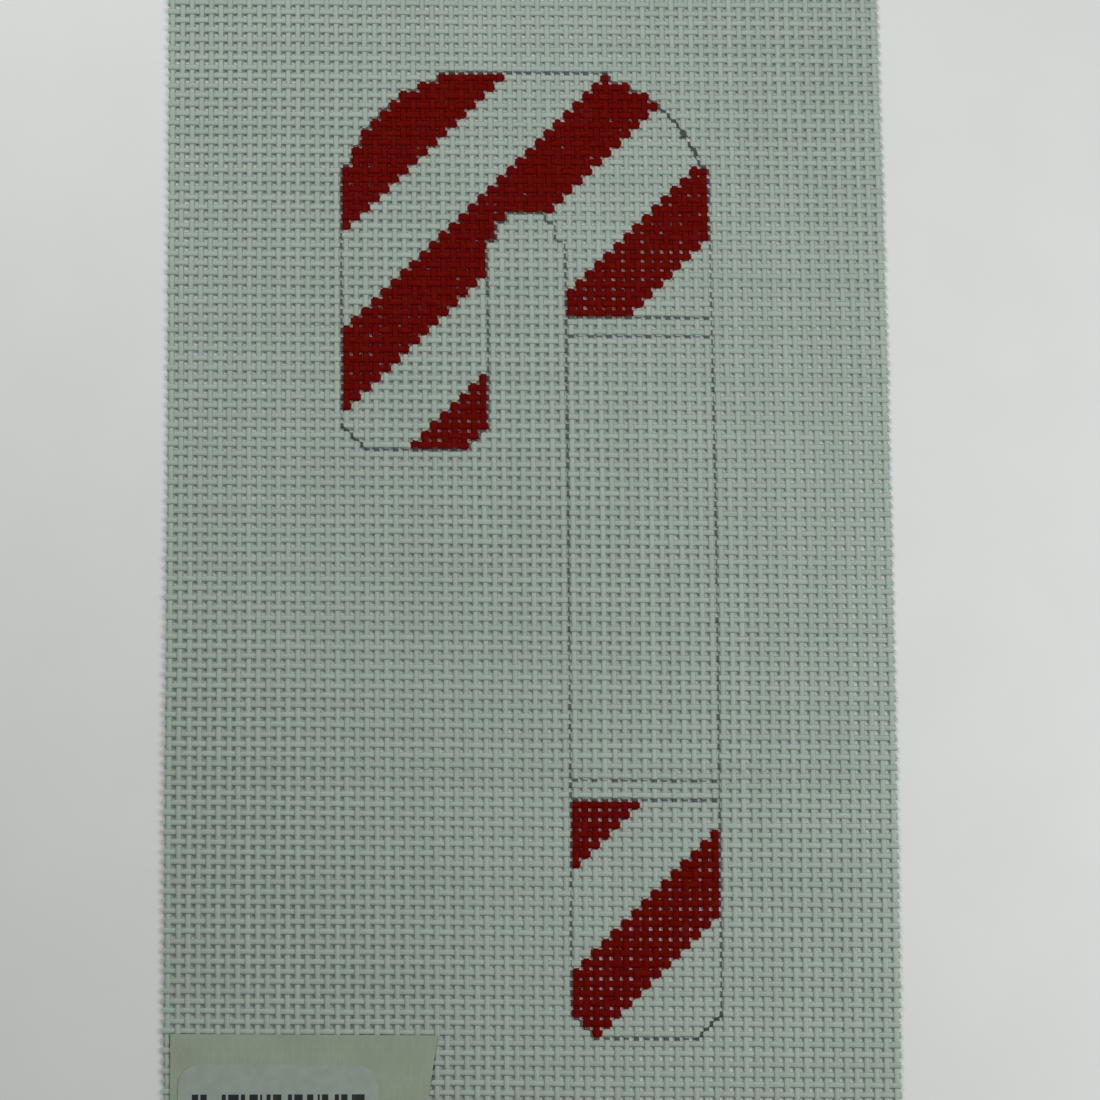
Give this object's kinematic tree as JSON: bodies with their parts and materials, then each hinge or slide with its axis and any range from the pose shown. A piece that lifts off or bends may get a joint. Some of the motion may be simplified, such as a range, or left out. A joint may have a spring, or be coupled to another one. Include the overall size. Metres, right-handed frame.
{
  "type": "painted needlepoint canvas",
  "caption": "Flat open-mesh needlepoint canvas, hand painted with a striped candy cane for stitching, with a tape label and a plain code sticker on its margin.",
  "frame": {"origin": "on the underside, below the middle of the canvas, which is also the middle of the design", "axes": "+Z out of the painted side, +Y from the cane's foot to its crook, +X across the design to the right"},
  "size_m": [0.1044, 0.192, 0.0014],
  "materials": {
    "canvas_thread": "matt, sized cotton thread in an open plain weave",
    "red_paint": "satin acrylic paint brushed over the threads",
    "paper_tape": "creped paper tape, semi-matt",
    "sticker_paper": "smooth coated paper with dark printed bars"
  },
  "bodies": {
    "root": {"canvas": "canvas_thread", "painted_stripe_1": "red_paint", "painted_stripe_2": "red_paint", "painted_stripe_3": "red_paint", "painted_stripe_4": "red_paint", "painted_stripe_5": "red_paint", "painted_stripe_6": "red_paint", "tape_label": "paper_tape", "code_sticker": "sticker_paper"}
  },
  "joints": []
}
